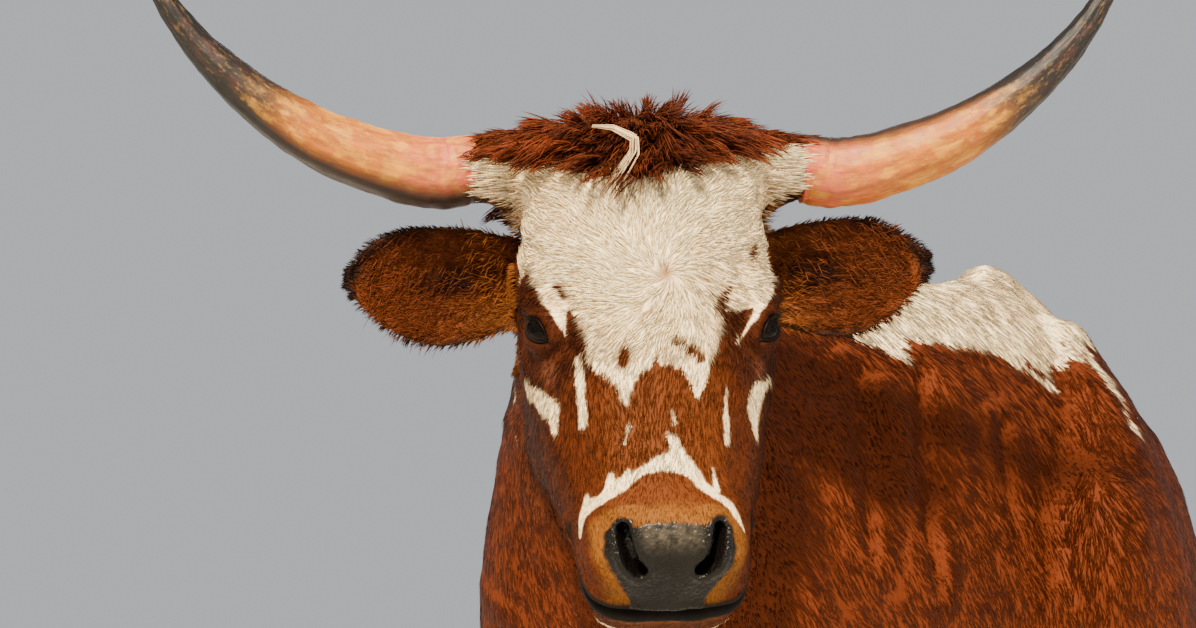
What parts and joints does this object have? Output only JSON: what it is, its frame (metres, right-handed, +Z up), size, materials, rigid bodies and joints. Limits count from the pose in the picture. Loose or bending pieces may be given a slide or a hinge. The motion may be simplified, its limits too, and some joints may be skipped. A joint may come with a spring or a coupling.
{
  "type": "beef steer",
  "caption": "Still, life-size long-horned beef steer standing on four cloven feet, with its neck swung aside and its head turned to look ahead.",
  "frame": {"origin": "middle of the whole animal's bounding box, on the floor that its hooves stand on", "axes": "+Z up, -Y the way the trunk faces, +X the animal's left"},
  "size_m": [1.0922, 2.2076, 1.5491],
  "materials": {
    "coat": "short red-brown hair with white patches on the forehead, muzzle, withers, belly and lower legs",
    "horn": "straw-coloured horn, pink at the root and dark at the tip, with a dull polish",
    "eye": "wet, very dark brown",
    "hoof": "dull dark horn"
  },
  "bodies": {
    "root": {"torso": "coat", "neck": "coat", "head": "coat", "ear_left": "coat", "ear_right": "coat", "eye_left": "eye", "eye_right": "eye", "horn_left": "horn", "horn_right": "horn", "foreleg_left": "coat", "foreleg_right": "coat", "hindleg_left": "coat", "hindleg_right": "coat", "hoof_fore_left_outer": "hoof", "hoof_fore_left_inner": "hoof", "hoof_fore_right_outer": "hoof", "hoof_fore_right_inner": "hoof", "hoof_hind_left_outer": "hoof", "hoof_hind_left_inner": "hoof", "hoof_hind_right_outer": "hoof", "hoof_hind_right_inner": "hoof", "tail": "coat"}
  },
  "joints": []
}
